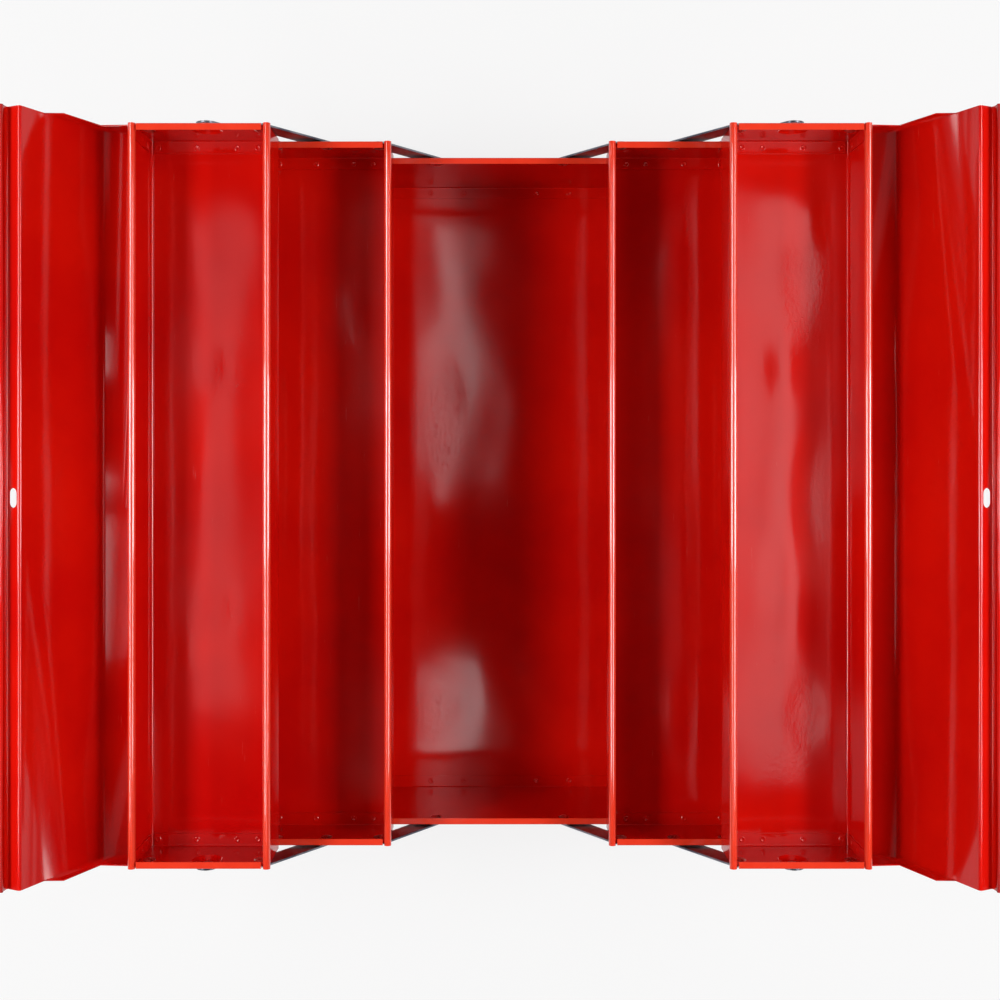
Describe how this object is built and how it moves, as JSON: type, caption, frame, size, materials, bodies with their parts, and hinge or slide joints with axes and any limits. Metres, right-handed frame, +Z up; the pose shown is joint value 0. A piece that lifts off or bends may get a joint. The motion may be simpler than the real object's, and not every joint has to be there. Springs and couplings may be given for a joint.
{
  "type": "cantilever tool case",
  "caption": "Red sheet-steel cantilever tool case, fanned open: a deep base tray, upper trays on plated arms that swing out and up to both sides, and hinged lids with padlock slots.",
  "frame": {"origin": "on the table, under the middle of the case", "axes": "+X runs across the trays, +Y along them, +Z up"},
  "size_m": [0.6774, 0.5418, 0.2607],
  "materials": {
    "red_enamel": "glossy red stoving enamel on pressed steel sheet",
    "arm_plating": "dark zinc-plated steel strip",
    "rivet_steel": "bright plated rivet",
    "handle_plating": "bright zinc-plated steel rod"
  },
  "bodies": {
    "base": {"base_pan": "red_enamel", "base_front_end": "red_enamel", "base_back_end": "red_enamel", "base_arm_rivets": "rivet_steel", "base_arm_washers": "arm_plating"},
    "left_long_arms": {"left_front_long_arm": "arm_plating", "left_back_long_arm": "arm_plating"},
    "left_lower_arms": {"left_front_lower_arm": "arm_plating", "left_back_lower_arm": "arm_plating"},
    "left_upper_arms": {"left_front_upper_arm": "arm_plating", "left_back_upper_arm": "arm_plating"},
    "left_middle_tray": {"left_middle_pan": "red_enamel", "left_middle_front_end": "red_enamel", "left_middle_back_end": "red_enamel", "left_middle_arm_rivets": "rivet_steel", "left_middle_arm_washers": "arm_plating"},
    "left_top_tray": {"left_top_pan": "red_enamel", "left_top_front_end": "red_enamel", "left_top_back_end": "red_enamel", "left_top_arm_rivets": "rivet_steel", "left_top_arm_washers": "arm_plating", "left_lid_rivets": "rivet_steel"},
    "left_lid_cover": {"left_lid": "red_enamel", "left_handle_clips": "handle_plating"},
    "left_carry_handle": {"left_handle": "handle_plating"},
    "right_long_arms": {"right_front_long_arm": "arm_plating", "right_back_long_arm": "arm_plating"},
    "right_lower_arms": {"right_front_lower_arm": "arm_plating", "right_back_lower_arm": "arm_plating"},
    "right_upper_arms": {"right_front_upper_arm": "arm_plating", "right_back_upper_arm": "arm_plating"},
    "right_middle_tray": {"right_middle_pan": "red_enamel", "right_middle_front_end": "red_enamel", "right_middle_back_end": "red_enamel", "right_middle_arm_rivets": "rivet_steel", "right_middle_arm_washers": "arm_plating"},
    "right_top_tray": {"right_top_pan": "red_enamel", "right_top_front_end": "red_enamel", "right_top_back_end": "red_enamel", "right_top_arm_rivets": "rivet_steel", "right_top_arm_washers": "arm_plating", "right_lid_rivets": "rivet_steel"},
    "right_lid_cover": {"right_lid": "red_enamel", "right_handle_clips": "handle_plating"},
    "right_carry_handle": {"right_handle": "handle_plating"}
  },
  "joints": [
    {"name": "left_fan", "type": "hinge", "parent": "base", "child": "left_long_arms", "pos_m": [-0.09225, 0, 0.094], "axis": [0, 1, 0], "range_deg": [0, 75.11]},
    {"name": "left_lower_arm_turn", "type": "hinge", "parent": "base", "child": "left_lower_arms", "pos_m": [-0.0515, 0, 0.094], "axis": [0, 1, 0], "range_deg": [-0.5, 75.61]},
    {"name": "left_middle_tray_level", "type": "hinge", "parent": "left_long_arms", "child": "left_middle_tray", "pos_m": [-0.133, 0, 0.147], "axis": [0, 1, 0], "range_deg": [-75.61, 0.5]},
    {"name": "left_top_tray_level", "type": "hinge", "parent": "left_long_arms", "child": "left_top_tray", "pos_m": [-0.17375, 0, 0.2], "axis": [0, 1, 0], "range_deg": [-75.61, 0.5]},
    {"name": "left_upper_arm_turn", "type": "hinge", "parent": "left_middle_tray", "child": "left_upper_arms", "pos_m": [-0.17125, 0, 0.147], "axis": [0, 1, 0], "range_deg": [-0.5, 75.61]},
    {"name": "left_lid_swing", "type": "hinge", "parent": "left_top_tray", "child": "left_lid_cover", "pos_m": [-0.2541, 0, 0.2], "axis": [0, 1, 0], "range_deg": [0, 115.3]},
    {"name": "left_handle_swing", "type": "hinge", "parent": "left_lid_cover", "child": "left_carry_handle", "pos_m": [-0.32518, 0, 0.24062], "axis": [0, 1, 0], "range_deg": [-25.3, 85]},
    {"name": "right_fan", "type": "hinge", "parent": "base", "child": "right_long_arms", "pos_m": [0.09225, 0, 0.094], "axis": [0, -1, 0], "range_deg": [0, 75.11]},
    {"name": "right_lower_arm_turn", "type": "hinge", "parent": "base", "child": "right_lower_arms", "pos_m": [0.0515, 0, 0.094], "axis": [0, -1, 0], "range_deg": [-0.5, 75.61]},
    {"name": "right_middle_tray_level", "type": "hinge", "parent": "right_long_arms", "child": "right_middle_tray", "pos_m": [0.133, 0, 0.147], "axis": [0, -1, 0], "range_deg": [-75.61, 0.5]},
    {"name": "right_top_tray_level", "type": "hinge", "parent": "right_long_arms", "child": "right_top_tray", "pos_m": [0.17375, 0, 0.2], "axis": [0, -1, 0], "range_deg": [-75.61, 0.5]},
    {"name": "right_upper_arm_turn", "type": "hinge", "parent": "right_middle_tray", "child": "right_upper_arms", "pos_m": [0.17125, 0, 0.147], "axis": [0, -1, 0], "range_deg": [-0.5, 75.61]},
    {"name": "right_lid_swing", "type": "hinge", "parent": "right_top_tray", "child": "right_lid_cover", "pos_m": [0.2541, 0, 0.2], "axis": [0, -1, 0], "range_deg": [0, 115.3]},
    {"name": "right_handle_swing", "type": "hinge", "parent": "right_lid_cover", "child": "right_carry_handle", "pos_m": [0.32518, 0, 0.24062], "axis": [0, -1, 0], "range_deg": [-25.3, 85]}
  ],
  "couplings": [
    {"joint": "left_lower_arm_turn", "follows": "left_fan", "ratio": 1},
    {"joint": "left_middle_tray_level", "follows": "left_fan", "ratio": -1},
    {"joint": "left_top_tray_level", "follows": "left_fan", "ratio": -1},
    {"joint": "left_upper_arm_turn", "follows": "left_fan", "ratio": 1},
    {"joint": "right_lower_arm_turn", "follows": "right_fan", "ratio": 1},
    {"joint": "right_middle_tray_level", "follows": "right_fan", "ratio": -1},
    {"joint": "right_top_tray_level", "follows": "right_fan", "ratio": -1},
    {"joint": "right_upper_arm_turn", "follows": "right_fan", "ratio": 1}
  ]
}
